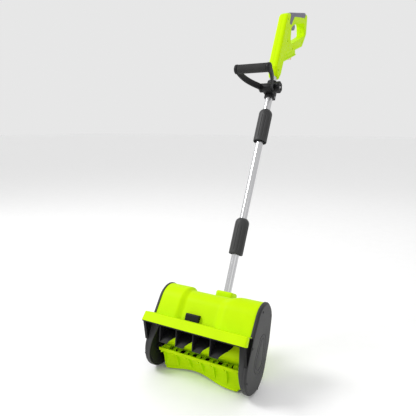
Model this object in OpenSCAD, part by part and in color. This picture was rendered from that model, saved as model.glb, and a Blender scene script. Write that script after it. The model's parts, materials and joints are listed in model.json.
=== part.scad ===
// Cordless snow shovel: a motor-driven 300 mm paddle rotor in a drum-shaped head, on a three-piece
// tube with an assist bar and a rear D-handle. The intake faces -Y, X runs across the head.
// The head and the shaft lean back together, so every part but the scraper is drawn in a frame that
// starts at the drum's centre: X across, v towards the rear, w up along the shaft.

/* [Stance] */
// Lean of the shaft and head back from vertical, degrees
lean = 27; // [24:0.5:30]
// Height of the drum's centre above the ground
drum_z = 72; // [72:0.5:74]

/* [Head] */
// Overall width of the head across the side covers
head_w = 330; // [326:1:336]
// Radius of the side plates' lower end
low_r = 72; // [71:0.5:73]
// Radius of the side plates' middle
mid_r = 68.5; // [68:0.5:70]
// Radius of the side plates' upper end
top_r = 57; // [56:0.5:58]
// Depth of the saddle across the middle of the drum
saddle_depth = 9; // [6:0.5:10]
// Wall of the moulded shells
wall = 3.5; // [3:0.1:4]
// Reach of the hood in front of the drum's centre
hood_reach = 118; // [114:1:120]

/* [Rotor] */
// Radius of the paddle tips
rotor_r = 65; // [62:0.5:66]
// Half length of the rotor
rotor_half = 134; // [120:1:136]
// Number of cross ribs on the rotor
rib_count = 7; // [5:1:9]
// Radius of the stub axles
axle_r = 4; // [3.5:0.5:4.5]
// Radius of the driven pulley
rotor_pulley_r = 36; // [30:1:38]
// Radius of the motor's pulley
motor_pulley_r = 8; // [7:0.5:10]

/* [Shaft] */
// Outer radius of the aluminium tubes
tube_r = 12.25; // [12:0.05:12.4]
// Inner radius of the aluminium tubes
tube_bore = 11; // [10.6:0.1:11.2]
// Outer radius of the joint sleeves
sleeve_r = 23; // [21:0.5:24]
// Length of the joint sleeves
sleeve_len = 120; // [110:1:125]

/* [Handles] */
// Half width of the assist bar between its arms
bar_half = 55; // [50:1:60]
// Radius of the assist bar's foam grip
grip_r = 14.5; // [13:0.5:15.5]
// Radius of the assist clamp's knob
knob_r = 20; // [18:0.5:21]
// Half width of the rear handle
handle_half = 17.3; // [16.5:0.1:18]

/* [Hidden] */
$fn = 96;

half_w = head_w / 2;                  // outer face of the side covers
cover_t = 10;                         // thickness of a side cover
frame_x = half_w - cover_t;           // outer face of a side frame
frame_in = 145;                       // inner face of a side frame
pocket_x = frame_in + wall - 0.5;     // floor of a side frame's belt pocket
mid_w = 68;                           // height of the side plates' middle circle
top_v = -2;                           // upper circle, set a little forward
top_w = 125;
skin = 3;                             // how far the drum lies inside the side covers
part_gap = 0.2;                       // between pieces of one body
move_gap = 0.3;                       // between pieces of different bodies
saddle_l = -76;                       // left, steep end of the saddle
saddle_r = 42;                        // right end, where the blend starts
saddle_blend = 30;                    // length of the blend on the right
blend_steps = 4;
hood_w = 81;                          // height of the hood's top
hood_lip = 55;                        // height of the hood's lower lip
hood_back = -60;                      // where the hood meets the drum
hood_t = 3;                           // thickness of the hood
hood_return = 11;                     // how far the band turns round each end
roof_w = hood_w - hood_t - part_gap;  // underside of the hood's top
scraper_len = 20;
scraper_y = 26;                       // scraper's middle behind the drum's centre, on the ground
rotor_v = -14.2;                      // rotor axis
rotor_w = -11.7;
liner_r = rotor_r + 5;                // inside of the scoop behind the rotor
web_t = 3;                            // rotor web and walls
rail_v = 21;                          // half depth of the rotor's core
rail_h = 8;                           // height of its rails above the web
rib_hole_r = 7;
bow_near = 8;                         // paddle tip angle at the rotor's ends, degrees
bow_deep = 25;                        // how far it swings back in the middle
bow_turn = 0.69;                      // degrees of phase per millimetre across the rotor
bow_shift = 30;                       // the bow's middle, left of centre
motor_v = -2;                         // motor axis
motor_w = 120;
motor_r = 28;
motor_back = 52;                      // far end of the motor
bearing_r = 11;
bearing_t = 7;
run_fit = 0.05;                       // radial clearance of a running fit
belt_t = 3;
belt_w = 7;
belt_x = 151;
shaft_v = 68;                         // shaft axis behind the drum's centre
bolt_v = shaft_v - 6.5;               // socket bolt, in front of the cable
socket_low = 101;
socket_top = 190;
tube_low = 130;                       // lower end of the lower tube
joint_1 = 371.5;                      // middle of the lower joint
joint_2 = 766.5;                      // middle of the upper joint
tube_top = 1066;                      // upper end of the upper tube, inside the handle
core_half = 34;                       // half length of a joint core
cable_r = 3.5;
cable_bend = 20;
clamp_low = 874;
clamp_high = 938;
clamp_r = 18;
pivot_v = 41;                         // assist bar's pivot
pivot_w = 900;
pivot_r = 4;
hub_r = 15.5;
hub_in = 17.3;                        // inner face of the bail's hubs
hub_out = 29;
bar_v = -101;                         // assist bar's axis
bar_w = 883;
arm_t = 9;                            // arm thickness across
arm_h = 21;                           // arm depth
arm_steps = 12;
arm_x = 24;                           // arms' middle beside the hubs, clear of the knob
arm_turn = 0.84;                      // where the arms run straight into the hubs
arm_start = 0.06;                     // arms start inside the bar's end caps
arm_end = 0.95;                       // and end inside the hubs
clamp_bolt_x = 8;
grip_out = 1.3;                       // how far the overmould stands proud
trigger_half = 6;
lock_v = shaft_v + 11;                // lock-off button's axis
lock_w = 1224;
fasten_r = 1.7;

// Moves the leaned drum frame into place
module leaned() {
    translate([0, -scraper_y, drum_z]) rotate([-lean, 0, 0]) children();
}

// Extrudes a (v, w) outline from x0 over a length along X
module along_x(x0, len) {
    translate([x0, 0, 0]) rotate([90, 0, 90]) linear_extrude(len) children();
}

// A rod along X
module x_rod(x0, len, r, v = 0, w = 0) {
    translate([x0, v, w]) rotate([0, 90, 0]) cylinder(r = r, h = len);
}

// A washer or sleeve along X
module x_ring(x0, len, r_out, r_in, v = 0, w = 0) {
    difference() {
        x_rod(x0, len, r_out, v, w);
        x_rod(x0 - 1, len + 2, r_in, v, w);
    }
}

// Direction of the outward normal on the edge between two corner circles, listed clockwise
function edge_normal(p, q) =
    let (d = [q[0] - p[0], q[1] - p[1]]) atan2(d[1], d[0]) + acos((p[2] - q[2]) / norm(d));

// A convex outline with rounded corners, from corner circles [v, w, r] listed clockwise,
// each grown by grow, with one facet every so many degrees
module rounded(corners, grow = 0, facet = 10) {
    count = len(corners);
    polygon([for (i = [0:count - 1])
        let (c = corners[i], from = edge_normal(corners[(i + count - 1) % count], c),
            turn = (from - edge_normal(c, corners[(i + 1) % count]) + 720) % 360,
            steps = ceil(turn / facet))
        for (k = [0:steps]) let (a = from - turn * k / steps)
            [c[0] + (c[2] + grow) * cos(a), c[1] + (c[2] + grow) * sin(a)]]);
}

// Side outline of the head, moved inwards by inset
module head_outline(inset = 0) {
    rounded([[top_v, top_w, top_r], [0, mid_w, mid_r], [0, 0, low_r], [0, mid_w, mid_r]], -inset, 5);
}

// Everything below the drum housing's lower edge
module below_housing() {
    polygon([[-200, hood_w], [-40, hood_w], [90, -25], [90, -200], [-200, -200]]);
}

// ---- head ----

// Drum with its saddle, moved inwards by extra
module drum_solid(extra = 0, half = 154.8) {
    low = skin + saddle_depth + extra;
    left = saddle_l - extra;
    step = saddle_blend / blend_steps;
    along_x(-half, left + half) head_outline(skin + extra);
    along_x(left, saddle_r - left) head_outline(low);
    for (i = [1:blend_steps]) along_x(saddle_r + (i - 1) * step, step)
        head_outline(low - saddle_depth * i / (blend_steps + 1));
    along_x(saddle_r + saddle_blend, half - saddle_r - saddle_blend) head_outline(skin + extra);
}

module drum_housing() {
    color("yellowgreen") leaned() difference() {
        drum_solid();
        drum_solid(wall, 170);
        along_x(-170, 340) below_housing();
        translate([0, 30, 113]) rotate([-90, 0, 0]) cylinder(r = 6, h = 60);
    }
}

module intake_hood() {
    front = -hood_reach;
    color("yellowgreen") leaned() {
        difference() {
            along_x(-half_w, head_w) polygon([[hood_back - 4, hood_w - part_gap],
                [front + 7, hood_w - part_gap], [front, hood_lip], [front + 3, hood_lip - 0.5],
                [front + 9.5, hood_w - hood_t], [hood_back - 4, hood_w - hood_t]]);
            for (side = [0, 1]) mirror([side, 0, 0])
                along_x(frame_x - 0.3, 20) head_outline(-part_gap);
        }
        for (side = [0, 1]) mirror([side, 0, 0])
            along_x(half_w - hood_t, hood_t) polygon([[front + 9, hood_w - 2],
                [front + 7 + hood_return, hood_w - 2], [front + hood_return, hood_lip + 3],
                [front + 2, hood_lip]]);
    }
}

// Chute roof under the hood, round scoop behind the rotor, and the four guide vanes
module intake_liner() {
    t = wall - 0.5;
    len = 2 * frame_in - 2 * part_gap;
    x0 = -len / 2;
    color([0.06, 0.06, 0.06]) leaned() difference() {
        union() {
            difference() {
                along_x(x0, len) {
                    translate([rotor_v, rotor_w]) circle(liner_r + t);
                    polygon([[-107, roof_w], [-52, roof_w], [18, 57], [0, 0], [-107, 0]]);
                }
                along_x(x0 - 1, len + 2) translate([rotor_v, rotor_w]) circle(liner_r);
                along_x(x0 - 1, len + 2) polygon([[-140, roof_w - t], [-53, roof_w - t], [12, 55],
                    [rotor_v, rotor_w], [60, -66.6], [60, -120], [-140, -120]]);
            }
            for (i = [0:3]) along_x(-110 + 55 * i, 4) difference() {
                polygon([[-97, roof_w - 1], [-99, 50], [-78, 6], [-60, 20], [12, 55.5], [-52, roof_w - 1]]);
                translate([rotor_v, rotor_w]) circle(liner_r - 1);
            }
        }
        along_x(-200, 400) difference() {
            square(600, center = true);
            head_outline(skin + wall + saddle_depth + part_gap);
            translate([-150, -150]) square([150, 300]);
            translate([0, -1]) below_housing();
        }
    }
}

module scraper_bar() {
    color([0.1, 0.1, 0.1]) difference() {
        translate([-frame_in + part_gap, -scraper_len / 2, 0])
            cube([2 * frame_in - 2 * part_gap, scraper_len, 5]);
        leaned() x_rod(-200, 400, liner_r + wall - 0.3, rotor_v, rotor_w);
    }
}

// Side frame on +X: dished wall, rim, front skirt round the cover, hood wing and corner gusset
module side_frame_solid() {
    leaned() difference() {
        union() {
            along_x(frame_in, frame_x - frame_in - part_gap) {
                head_outline(skin + wall + part_gap);
                intersection() {
                    head_outline(0);
                    translate([0, -1]) below_housing();
                }
                intersection() {
                    head_outline(-wall);
                    polygon([[-90, 4], [-40, 4], [-40, roof_w], [-90, roof_w]]);
                }
            }
            along_x(frame_in, half_w - frame_in) intersection() {
                difference() {
                    head_outline(-wall);
                    head_outline(-part_gap);
                }
                polygon([[-90, 4], [-40, 4], [-40, roof_w], [-90, roof_w]]);
            }
            along_x(half_w - wall, wall) difference() {
                polygon([[-62, roof_w], [-hood_reach + 14 + hood_return, roof_w],
                    [-hood_reach + hood_return + 5, hood_lip + 2], [-63, 3]]);
                head_outline(-part_gap);
            }
            translate([0, -66, 0]) rotate([90, 0, 0]) linear_extrude(4)
                polygon([[frame_in + 1, -20], [frame_in - 2, -20], [140, 19], [133, 34],
                    [126, 48], [frame_in + 1, 48]]);
            x_rod(frame_in - 5, 8, bearing_r + 3.5, rotor_v, rotor_w);
        }
        along_x(pocket_x, 20) head_outline(skin + wall + 4);
        along_x(frame_in - 1, frame_x - frame_in + 1) polygon([[-120, roof_w],
            [hood_back - 3.8, roof_w], [hood_back - 3.8, hood_w], [-120, hood_w]]);
        x_rod(frame_in - 3.5, 20, bearing_r, rotor_v, rotor_w);
        x_rod(frame_in - 10, 20, axle_r + 1, rotor_v, rotor_w);
    }
}
module left_side_frame() {
    color([0.12, 0.12, 0.12]) mirror([1, 0, 0]) side_frame_solid();
}

module right_side_frame() {
    color([0.12, 0.12, 0.12]) difference() {
        side_frame_solid();
        leaned() x_rod(frame_in - 10, 20, 9, motor_v, motor_w);
        leaned() for (a = [0, 180]) translate([0, motor_v, motor_w]) rotate([a, 0, 0])
            x_rod(frame_in - 1, 10, fasten_r, 0, 18);
    }
}

// Outline of the pressed panel on a side cover, moved inwards by inset
module panel_outline(inset = 0) {
    rounded([[6, 72, 24], [8, 20, 36]], -inset, 5);
}

// Screw places round a side cover, in (v, w)
function cover_screws() = [[-34, 151], [38, 149], [-60, 52], [60, 24], [-52, -38], [38, -53]];

module side_cover_solid() {
    leaned() difference() {
        union() {
            along_x(frame_x, 6) head_outline(0);
            along_x(frame_x + 6, cover_t - 6) head_outline(4);
        }
        along_x(frame_x - 1, 7) head_outline(7.5);
        along_x(half_w - 1.2, 2) difference() {
            panel_outline(0);
            panel_outline(2.5);
        }
        along_x(half_w - 1.2, 2) difference() {
            panel_outline(11);
            panel_outline(13.5);
        }
        for (p = cover_screws()) {
            x_rod(frame_x - 1, 20, fasten_r + 0.1, p[0], p[1]);
            x_rod(half_w - 4, 5, 3.6, p[0], p[1]);
        }
    }
    leaned() for (p = cover_screws())
        x_ring(frame_x, cover_t - 4, 4.4, fasten_r + 0.1, p[0], p[1]);
}

module left_side_cover() {
    color([0.27, 0.27, 0.27]) mirror([1, 0, 0]) side_cover_solid();
}

module right_side_cover() {
    color([0.27, 0.27, 0.27]) side_cover_solid();
}

module side_cover_screws() {
    color([0.2, 0.2, 0.2]) for (side = [0, 1]) mirror([side, 0, 0]) leaned()
        for (p = cover_screws()) {
            x_rod(frame_x + 0.3, 6, fasten_r, p[0], p[1]);
            x_rod(half_w - 3.9, 2.4, 3.1, p[0], p[1]);
        }
}

// Louvred cover over the motor's air inlet, in the saddle behind the hood
module motor_vent_cover() {
    color([0.08, 0.08, 0.08]) leaned() difference() {
        translate([-54, -66, 82]) cube([44, 22, 24]);
        drum_solid(-0.1);
        for (i = [0:3]) translate([-52.5 + 4 * i, -70, 80]) cube([1.6, 5.2, 40]);
    }
}

module tube_socket() {
    color("yellowgreen") leaned() difference() {
        union() {
            translate([-28, 42, socket_low + 14]) cube([56, 46, socket_top - socket_low - 14]);
            translate([-28, shaft_v, socket_low + 14]) rotate([0, 90, 0]) cylinder(r = 20, h = 56);
        }
        drum_solid(-0.1);
        translate([0, shaft_v, socket_low + 4]) cylinder(r = tube_r - 0.05 + 0.1, h = 120);
        translate([0, 20, 113]) rotate([-90, 0, 0]) cylinder(r = 6, h = 40);
        x_rod(-40, 80, 2.55, bolt_v, 160);
        x_rod(24, 10, 5, bolt_v, 160);
    }
}

module socket_bolt() {
    color("silver") leaned() {
        x_rod(-27, 52, 2.5, bolt_v, 160);
        x_rod(25, 3, 4.6, bolt_v, 160);
    }
}

// ---- rotor and drive ----

// Angle of a paddle's tip at x: it swings back towards the middle of the rotor
function tip_angle(x) = bow_near - bow_deep * pow(cos(bow_turn * (x + bow_shift)), 2);

// Centre line of the near paddle at x: t runs from the front rail to the tip
function paddle_point(x, t) =
    let (a = tip_angle(x), tip = (rotor_r - 1) * [-sin(a), -cos(a)], root = [-rail_v + 1, rail_h - 1],
        bend = [root[0] + 28, -33])
    (1 - t) * (1 - t) * root + 2 * t * (1 - t) * bend + t * t * tip;

// Half the length of a paddle at t: its outer corners are rounded off
function paddle_half(t) = rotor_half - 12 * pow(t, 3);

// Thin curved paddle hanging from the front rail
module paddle() {
    across = 32;
    down = 8;
    row = down + 1;
    grid = [for (i = [0:across], j = [0:down])
        let (t = j / down, x = paddle_half(t) * (2 * i / across - 1), p = paddle_point(x, t))
        [x, p[0], p[1]]];
    count = len(grid);
    back = [for (p = grid) [p[0], p[1] + 2.2, p[2] + 0.8]];
    front = [for (p = grid) [p[0], p[1] - 0.8, p[2] - 0.2]];
    polyhedron(concat(front, back), concat(
        [for (i = [0:across - 1], j = [0:down - 1]) let (a = i * row + j)
            each [[a, a + row, a + 1], [a + 1, a + row, a + row + 1]]],
        [for (i = [0:across - 1], j = [0:down - 1]) let (a = count + i * row + j)
            each [[a, a + 1, a + row], [a + 1, a + row + 1, a + row]]],
        [for (i = [0:across - 1]) let (a = i * row)
            each [[a, count + a, a + row], [a + row, count + a, count + a + row]]],
        [for (i = [0:across - 1]) let (a = i * row + down)
            each [[a, a + row, count + a], [a + row, count + a + row, count + a]]],
        [for (j = [0:down - 1])
            each [[j, j + 1, count + j], [j + 1, count + j + 1, count + j]]],
        [for (j = [0:down - 1]) let (a = across * row + j)
            each [[a, count + a, a + 1], [a + 1, count + a, count + a + 1]]]));
}

module rotor() {
    pitch = 2 * (rotor_half - 8) / (rib_count - 1);
    color("greenyellow") leaned() translate([0, rotor_v, rotor_w]) rotate([lean, 0, 0]) difference() {
        union() {
            for (turn = [0, 180]) rotate([turn, 0, 0]) {
                paddle();
                translate([-rotor_half, -rail_v, 0]) cube([2 * rotor_half, web_t, rail_h]);
            }
            translate([-rotor_half, -rail_v, -web_t / 2]) cube([2 * rotor_half, 2 * rail_v, web_t]);
            for (i = [0:rib_count - 1]) translate([-rotor_half + 8 - web_t / 2 + i * pitch, 0, 0])
                intersection() {
                    translate([0, -rail_v, -rail_h]) cube([web_t, 2 * rail_v, 2 * rail_h]);
                    x_rod(-1, web_t + 2, rail_v + 1);
                }
            for (side = [0, 1]) mirror([side, 0, 0])
                x_rod(rotor_half - 22, 22, 9);
        }
        for (i = [1:rib_count - 2]) translate([-rotor_half + 8 + i * pitch, 0, 0]) {
            x_rod(-web_t, 2 * web_t, rib_hole_r);
            translate([web_t, -12, -10]) cube([9, 24, 20]);
        }
        for (side = [0, 1]) mirror([side, 0, 0]) x_rod(rotor_half - 20, 30, axle_r);
    }
}

module rotor_axles() {
    color("silver") leaned() {
        x_rod(rotor_half - 20, pocket_x + 11 - rotor_half + 20, axle_r, rotor_v, rotor_w);
        x_rod(-frame_in - 3, frame_in + 3 - rotor_half + 20, axle_r, rotor_v, rotor_w);
    }
}

module left_bearing() {
    color("silver") leaned()
        x_ring(-frame_in - 3.5 + 0.1, bearing_t - 0.2, bearing_r, axle_r + run_fit, rotor_v, rotor_w);
}

module right_bearing() {
    color("silver") leaned()
        x_ring(frame_in - 3.5 + 0.1, bearing_t - 0.2, bearing_r, axle_r + run_fit, rotor_v, rotor_w);
}

module rotor_pulley() {
    color([0.15, 0.15, 0.15]) leaned() difference() {
        union() {
            x_rod(belt_x, belt_w, rotor_pulley_r, rotor_v, rotor_w);
            x_rod(belt_x + belt_w, 1.2, rotor_pulley_r + 3, rotor_v, rotor_w);
            x_rod(belt_x - 2, 2, 7, rotor_v, rotor_w);
        }
        x_rod(belt_x - 5, 20, axle_r, rotor_v, rotor_w);
    }
}

module drive_belt() {
    wraps = [[rotor_v, rotor_w, rotor_pulley_r], [motor_v, motor_w, motor_pulley_r]];
    color([0.05, 0.05, 0.05]) leaned() along_x(belt_x + 0.3, belt_w - 0.6) difference() {
        rounded(wraps, belt_t);
        rounded(wraps, move_gap);
    }
}

module motor_pulley() {
    color("silver") leaned() difference() {
        union() {
            x_rod(belt_x, belt_w, motor_pulley_r, motor_v, motor_w);
            x_rod(belt_x + belt_w, 1.2, motor_pulley_r + 3, motor_v, motor_w);
        }
        x_rod(belt_x - 5, 20, 2.5, motor_v, motor_w);
    }
}

module motor_shaft() {
    color("silver") leaned()
        x_rod(motor_back - 1, belt_x + belt_w + 1 - motor_back, 2.5, motor_v, motor_w);
}

module motor_armature() {
    color("peru") leaned()
        x_ring(motor_back + 14, 60, 20, 2.5, motor_v, motor_w);
}

module motor_can() {
    color("dimgray") leaned() difference() {
        union() {
            x_rod(motor_back, frame_in - part_gap - motor_back, motor_r, motor_v, motor_w);
            x_rod(frame_in - 1, 4, 8.8, motor_v, motor_w);
        }
        x_rod(motor_back + 4, frame_in - motor_back - 10, motor_r - 3, motor_v, motor_w);
        x_rod(motor_back - 5, 130, 2.5 + run_fit, motor_v, motor_w);
        for (a = [0, 180]) translate([0, motor_v, motor_w]) rotate([a, 0, 0])
            x_rod(frame_in - 6, 8, fasten_r - 0.05, 0, 18);
    }
}

module motor_screws() {
    color("silver") leaned() for (a = [0, 180]) translate([0, motor_v, motor_w]) rotate([a, 0, 0]) {
        x_rod(frame_in - 4, 7.2, fasten_r - 0.1, 0, 18);
        x_rod(pocket_x + 0.1, 2, 3, 0, 18);
    }
}

// ---- shaft ----

// A length of tube on the shaft's axis
module tube(low, high, r_out, r_in) {
    translate([0, shaft_v, low]) difference() {
        cylinder(r = r_out, h = high - low);
        translate([0, 0, -1]) cylinder(r = r_in, h = high - low + 2);
    }
}

module lower_tube() {
    color("gainsboro") leaned() difference() {
        tube(tube_low, joint_1 - 0.1, tube_r, tube_bore);
        x_rod(-40, 80, 2.55, bolt_v, 160);
    }
}

module middle_tube() {
    color("gainsboro") leaned() tube(joint_1 + 0.1, joint_2 - 0.1, tube_r, tube_bore);
}

module upper_tube() {
    color("gainsboro") leaned() tube(joint_2 + 0.1, tube_top, tube_r, tube_bore);
}

module joint_cores() {
    color("darkgray") leaned() for (w = [joint_1, joint_2])
        tube(w - core_half, w + core_half, tube_bore - 0.05, 6);
}

// Twist-lock sleeve over a tube joint: necked top, flared open bottom, grip flutes
module joint_sleeve(w) {
    low = w - sleeve_len / 2;
    color([0.26, 0.26, 0.26]) leaned() translate([0, shaft_v, low]) difference() {
        rotate_extrude() polygon([[tube_r + move_gap, 12], [sleeve_r - 3.5, 8], [sleeve_r - 2.5, 0],
            [sleeve_r - 1, 0], [sleeve_r, 3], [sleeve_r, sleeve_len - 16],
            [sleeve_r - 1.5, sleeve_len - 7], [sleeve_r - 5, sleeve_len - 2],
            [sleeve_r - 8, sleeve_len], [tube_r + move_gap, sleeve_len]]);
        for (i = [0:11]) rotate([0, 0, i * 30]) translate([sleeve_r + 1.2, 0, 12])
            cylinder(r = 2.4, h = sleeve_len - 34);
    }
}

module lower_joint_sleeve() {
    joint_sleeve(joint_1);
}

module upper_joint_sleeve() {
    joint_sleeve(joint_2);
}

// Supply cable: down inside the tubes, round one bend and forward to the motor
module power_cable() {
    bend_w = 113 + cable_bend;
    color("black") leaned() {
        translate([0, shaft_v, bend_w]) cylinder(r = cable_r, h = 1072 - bend_w);
        translate([0, shaft_v - cable_bend, bend_w]) rotate([0, 90, 0])
            rotate_extrude(angle = 90) translate([cable_bend, 0]) circle(cable_r);
        translate([0, motor_v + motor_r, 113]) rotate([-90, 0, 0])
            cylinder(r = cable_r, h = shaft_v - cable_bend - motor_v - motor_r);
    }
}

// ---- assist bar ----

module assist_clamp() {
    color([0.1, 0.1, 0.1]) leaned() difference() {
        union() {
            translate([0, shaft_v, clamp_low]) cylinder(r = clamp_r, h = clamp_high - clamp_low);
            translate([-hub_in + 0.3, pivot_v, pivot_w - hub_r])
                cube([2 * hub_in - 0.6, shaft_v - pivot_v, 2 * hub_r]);
            x_rod(-hub_in + 0.3, 2 * hub_in - 0.6, hub_r, pivot_v, pivot_w);
            translate([-12, shaft_v, clamp_low + 6]) cube([24, clamp_r + 10, clamp_high - clamp_low - 12]);
        }
        translate([0, shaft_v, clamp_low - 1]) cylinder(r = tube_r + run_fit, h = 80);
        translate([-0.8, shaft_v, clamp_low - 1]) cube([1.6, 40, 80]);
        x_rod(-30, 60, pivot_r + run_fit, pivot_v, pivot_w);
        for (w = [clamp_low + 16, clamp_high - 16]) {
            x_rod(-20, 40, 2.1, shaft_v + clamp_r + 3, w);
            x_rod(9, 10, 4, shaft_v + clamp_r + 3, w);
        }
        for (side = [-1, 1]) translate([side * clamp_bolt_x, shaft_v - 26, clamp_low + 4.5])
            rotate([-90, 0, 0]) cylinder(r = 3.3, h = 14);
    }
}

// Two screws that draw the clamp's ears together and two in its front
module clamp_screws() {
    color("silver") leaned() {
        for (w = [clamp_low + 16, clamp_high - 16]) {
            x_rod(-11, 20.5, 2, shaft_v + clamp_r + 3, w);
            x_rod(9.5, 3.5, 3.7, shaft_v + clamp_r + 3, w);
        }
        for (side = [-1, 1]) translate([side * clamp_bolt_x, shaft_v - 17.5, clamp_low + 4.5])
            rotate([-90, 0, 0]) cylinder(r = 3, h = 5.4);
    }
}

// Centre of the right arm at t, from the bar's end to the hub: [x, v, w]
function arm_point(t) = let (u = min(1, t / arm_turn)) [
    arm_x + (bar_half + 1 - arm_x) * pow(1 - u * u, 1.3), bar_v + (pivot_v - bar_v) * t,
    bar_w + (pivot_w - bar_w) * t - 30 * t * (1 - t)];

// Section corners of the arm at t, square to its run in the (v, w) plane
function arm_ring(t) =
    let (p = arm_point(t), q = arm_point(t + 0.01), d = q - p, l = norm([d[1], d[2]]),
        up = [0, -d[2] / l, d[1] / l], h = arm_h / 2, b = arm_t / 2)
    [for (c = [[-b, -h + 3], [-b + 3, -h], [b - 3, -h], [b, -h + 3], [b, h - 3], [b - 3, h],
        [-b + 3, h], [-b, h - 3]]) p + c[0] * [1, 0, 0] + c[1] * up];

module arm() {
    rings = [for (i = [0:arm_steps]) arm_ring(arm_start + (arm_end - arm_start) * i / arm_steps)];
    polyhedron([for (r = rings) each r], concat(
        [[7, 6, 5, 4, 3, 2, 1, 0]],
        [for (i = [0:arm_steps - 1], j = [0:7]) let (a = 8 * i + j, b = 8 * i + (j + 1) % 8)
            each [[a, b, b + 8], [a, b + 8, a + 8]]],
        [[for (j = [0:7]) 8 * arm_steps + j]]));
}

module assist_bail() {
    color([0.1, 0.1, 0.1]) leaned() difference() {
        union() {
            for (side = [0, 1]) mirror([side, 0, 0]) {
                arm();
                x_rod(hub_in, hub_out - hub_in, hub_r, pivot_v, pivot_w);
                x_rod(bar_half - 5, 11, grip_r + 0.8, bar_v, bar_w);
            }
            x_rod(-bar_half, 2 * bar_half, 8, bar_v, bar_w);
        }
        x_rod(-60, 120, pivot_r + run_fit, pivot_v, pivot_w);
        x_rod(-half_w, half_w - hub_out + 4, 6.6, pivot_v, pivot_w);
    }
}

module assist_grip() {
    color([0.13, 0.13, 0.13]) leaned()
        x_ring(-bar_half + 5 + part_gap, 2 * bar_half - 10 - 2 * part_gap, grip_r, 8.05, bar_v, bar_w);
}

module pivot_bolt() {
    color("silver") leaned() {
        x_rod(-hub_out + 4.2, hub_out - 4.2 + 44, pivot_r, pivot_v, pivot_w);
        x_rod(-hub_out + 0.5, 3.5, 6.2, pivot_v, pivot_w);
    }
}

// Six-lobed knob on the pivot bolt's end
module clamp_knob() {
    color([0.08, 0.08, 0.08]) leaned() translate([hub_out + move_gap, pivot_v, pivot_w])
        difference() {
            union() {
                x_rod(0, 4, 12);
                along_x(3, 13) polygon([for (a = [0:5:355])
                    (knob_r - 1.5 + 1.5 * cos(6 * a)) * [cos(a), sin(a)]]);
            }
            x_rod(-1, 14, pivot_r + run_fit);
            x_rod(12, 6, 8);
        }
}

// ---- rear handle ----

// Side outline of the rear handle: spine and loop, without the finger opening
module handle_outline(grow = 0) {
    rounded([[-23, 1181, 8], [14, 1181, 8], [14, 981, 8], [6, 960, 8], [-5, 963, 8], [-23, 986, 8]],
        grow);
    rounded([[-5, 1189, 26], [152, 1326, 14], [171, 1270, 16], [158, 1208, 13], [8.7, 1061, 12]],
        grow);
}

module finger_opening(grow = 0) {
    rounded([[41, 1180, 12], [66, 1214, 13], [140, 1270, 14], [150, 1256, 15], [55, 1151, 14]], grow);
}

// The loop and spine, moved inwards by inset
module handle_section(inset = 0) {
    difference() {
        handle_outline(-inset);
        finger_opening(inset);
    }
}

// Strip under the loop that carries the battery rails
module dock_section(inset = 0) {
    rounded([[109, 1146, 4], [116, 1137, 4], [26, 1050, 4], [17, 1058, 4]], -inset);
}

// Battery rail, a T-shaped lip on each side of the dock strip
module dock_rail() {
    polygon([[24, 1045], [28.5, 1040.5], [124.5, 1133.5], [120.5, 1138]]);
}

// Room for the trigger's shank and its travel
module trigger_slot() {
    polygon([[42, 1190], [86, 1231], [62, 1262], [30, 1222]]);
}

// Screw places on the handle, in (n, w)
function handle_screw_points() = [[-14, 971], [-16, 1186], [16, 1116], [73, 1125], [128, 1306],
    [154, 1214]];

// Half of the rear handle on +X
module handle_half_solid() {
    leaned() translate([0, shaft_v, 0]) difference() {
        union() {
            difference() {
                union() {
                    along_x(0.05, handle_half - 4.05) handle_section();
                    along_x(handle_half - 4.01, 4.01) handle_section(4);
                    along_x(0.05, 13) dock_section();
                    along_x(0.05, 15) dock_rail();
                }
                along_x(-1, handle_half - 7) handle_section(3);
                along_x(handle_half - 8.1, 5) handle_section(7);
                along_x(-1, 11) dock_section(3);
            }
            intersection() {
                translate([0, 0, 958]) cylinder(r = 16, h = tube_top - 958);
                along_x(0.05, 16) handle_section(0.5);
            }
            for (p = handle_screw_points()) x_rod(0.05, handle_half - 3, 4.2, p[0], p[1], $fn = 24);
        }
        translate([0, 0, 940]) cylinder(r = tube_r + 0.05, h = tube_top - 939.8);
        translate([0, -50, 950]) rotate([-90, 0, 0]) cylinder(r = 13.6, h = 100);
        along_x(-1, trigger_half + 0.4 + 1) trigger_slot();
        along_x(-1, 12.2) polygon([[60, 1100], [92, 1131], [108, 1114], [76, 1083]]);
        for (p = handle_screw_points()) x_rod(-1, 30, fasten_r + 0.1, p[0], p[1], $fn = 24);
        for (p = handle_screw_points()) x_rod(handle_half - 4, 8, 3.2, p[0], p[1], $fn = 24);
    }
}

module handle_shell_left() {
    color("yellowgreen") difference() {
        mirror([1, 0, 0]) handle_half_solid();
        leaned() x_rod(-30, 21.5, 6.4, lock_v, lock_w);
    }
}

module handle_shell_right() {
    color("yellowgreen") handle_half_solid();
}

module handle_screws() {
    color([0.2, 0.2, 0.2]) leaned() translate([0, shaft_v, 0]) for (p = handle_screw_points()) {
        x_rod(-handle_half + 6, 2 * handle_half - 9.9, fasten_r, p[0], p[1]);
        x_rod(handle_half - 3.9, 2, 2.9, p[0], p[1]);
    }
}

// Soft overmould along the top of the grip, with a tongue down each side at the front
module overmould_region() {
    polygon([[6, 1248], [148, 1358], [152, 1326], [60, 1256], [32, 1228], [22, 1190], [2, 1176]]);
}

module grip_overmould() {
    color("slategray") leaned() translate([0, shaft_v, 0]) difference() {
        along_x(-handle_half - grip_out, 2 * handle_half + 2 * grip_out) intersection() {
            difference() {
                handle_outline(grip_out);
                finger_opening(1);
            }
            overmould_region();
        }
        along_x(-handle_half - 0.1, 2 * handle_half + 0.2) handle_outline(0.1);
        for (side = [0, 1]) mirror([side, 0, 0]) x_rod(10, 30, 7.2, lock_v - shaft_v, lock_w);
    }
}

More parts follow.
